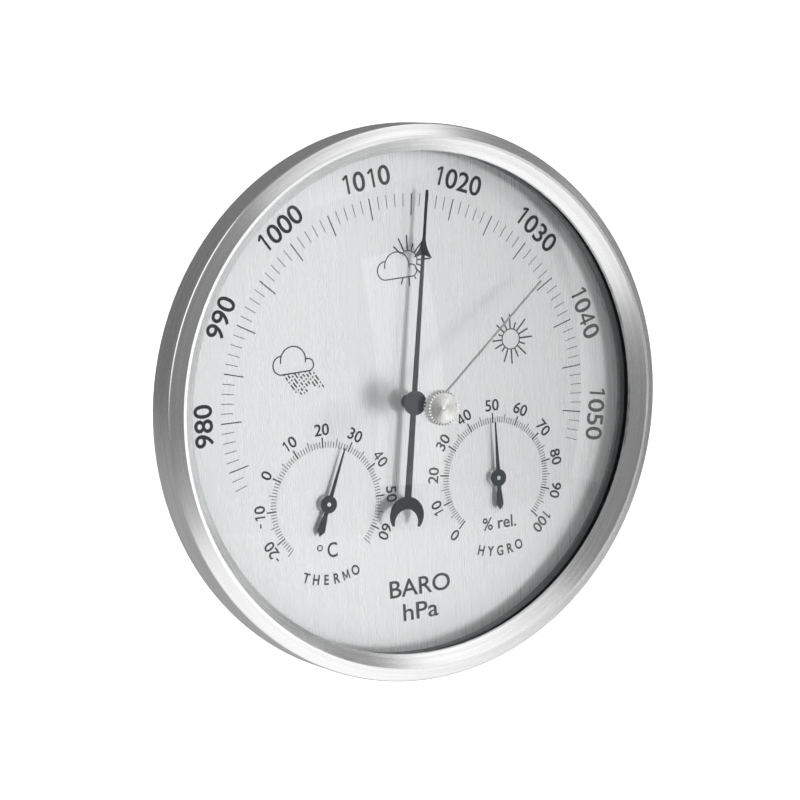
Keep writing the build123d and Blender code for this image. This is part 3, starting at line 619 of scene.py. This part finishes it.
# floor, light and camera
studio = {
    "floorDrop": 0.45,
    "floorSize": 3.0,
    "backGap": 0.9,
    "curve": 0.5,
    "floorShade": 0.85,
    # painted shade: the wall's colour, much darker than the floor's
    "wallPaintedShade": 0.37,
    "lightAim": (0, -0.02, 0),
}


def makeBackdrop():
    # one sheet: a pale floor that curves up into a wall behind the object; the wall is darkened
    # with painted shade, so the metal mirrors a dim wall
    bm = bmesh.new()
    half = studio["floorSize"] / 2
    floorZ = cadBox[0].z - studio["floorDrop"]
    front = bm.verts.new((-half, -half, floorZ))
    corner = bm.verts.new((-half, studio["backGap"], floorZ))
    bm.edges.new((front, corner))
    bend = bmesh.ops.spin(
        bm,
        geom=[corner],
        cent=(-half, studio["backGap"], floorZ + studio["curve"]),
        axis=(1, 0, 0),
        angle=radians(90),
        steps=16,
    )
    last = [v for v in bend["geom_last"] if isinstance(v, bmesh.types.BMVert)][0]
    top = bm.verts.new(last.co + Vector((0, 0, half)))
    bm.edges.new((last, top))
    made = bmesh.ops.extrude_edge_only(bm, edges=bm.edges[:])
    verts = [v for v in made["geom"] if isinstance(v, bmesh.types.BMVert)]
    bmesh.ops.translate(bm, vec=(studio["floorSize"], 0, 0), verts=verts)
    bmesh.ops.recalc_face_normals(bm, faces=bm.faces)
    mesh = bpy.data.meshes.new("backdrop")
    bm.to_mesh(mesh)
    bm.free()
    for face in mesh.polygons:
        face.use_smooth = True
    sheet = bpy.data.objects.new("backdrop", mesh)
    bpy.context.scene.collection.objects.link(sheet)
    mat, shader = startMaterial("backdropPaper", (0.45, 0.45, 0.45), 0.0, 0.9)
    shader.inputs["Emission Color"].default_value = (1, 1, 1, 1)
    coords = addNode(mat, "TexCoord")
    split = addNode(mat, "SeparateXYZ")
    # painted shade: the base colour darkens from the floor up the curve into the wall
    climb = addNode(mat, "MapRange")
    climb.inputs["From Min"].default_value = floorZ
    climb.inputs["From Max"].default_value = floorZ + studio["curve"]
    climb.inputs["To Min"].default_value = studio["floorShade"]
    climb.inputs["To Max"].default_value = studio["wallPaintedShade"]
    join(mat, coords.outputs["Object"], split.inputs["Vector"])
    join(mat, split.outputs["Z"], climb.inputs["Value"])
    join(mat, climb.outputs["Result"], shader.inputs["Base Color"])
    seen = addNode(mat, "LightPath")  # white to the camera, but it lights nothing
    join(mat, seen.outputs["Is Camera Ray"], shader.inputs["Emission Strength"])
    mesh.materials.append(mat)


lights = {
    "keyRight": ((0.92, -0.78, 0.12), (0.22, 0.22), 5.0),
    "frontStrip": ((0.63, -1.38, -0.30), (0.34, 1.6), 2.6),
    "topFill": ((0.50, -0.95, 1.1), (1.7, 1.1), 6.5),
    "lowFill": ((0.05, -0.20, -0.45), (1.2, 0.8), 1.7),
    "sideFill": ((1.35, -0.35, 0.0), (0.8, 1.2), 4.0),
    "edgeLeft": ((-1.0, 0.05, 0.65), (0.9, 1.3), 4.2),
    "world": 0.26,
}


def softbox(name, place, size, power):
    lamp = bpy.data.lights.new(name, "AREA")
    lamp.shape = "RECTANGLE"
    lamp.size, lamp.size_y = size
    lamp.energy = power
    holder = bpy.data.objects.new(name, lamp)
    bpy.context.scene.collection.objects.link(holder)
    holder.location = place
    holder.rotation_mode = "QUATERNION"
    towards = Vector(studio["lightAim"]) - Vector(place)
    holder.rotation_quaternion = towards.to_track_quat("-Z", "Y")
    holder.visible_glossy = name != "keyRight"  # or the lens mirrors it as a white square


def makeLight():
    for name, light in lights.items():
        if name != "world":
            softbox(name, *light)
    world = bpy.context.scene.world or bpy.data.worlds.new("studio")
    bpy.context.scene.world = world
    world.use_nodes = True
    world.node_tree.nodes["Background"].inputs["Color"].default_value = (1, 1, 1, 1)
    world.node_tree.nodes["Background"].inputs["Strength"].default_value = lights["world"]
    bpy.context.scene.view_settings.view_transform = "Standard"


camera = {
    "place": (-0.3652, -0.6670, 0.1038),
    "turn": (82.012, 3.5073, -30.036),
    "lens": 141.38,
}


def makeCamera():
    data = bpy.data.cameras.new("camera")
    data.lens = camera["lens"]
    data.sensor_width = 36
    data.clip_start = 0.01
    holder = bpy.data.objects.new("camera", data)
    bpy.context.scene.collection.objects.link(holder)
    holder.location = camera["place"]
    holder.rotation_euler = Euler([radians(a) for a in camera["turn"]])
    bpy.context.scene.camera = holder


makeBackdrop()
makeLight()
makeCamera()
print("stage set")
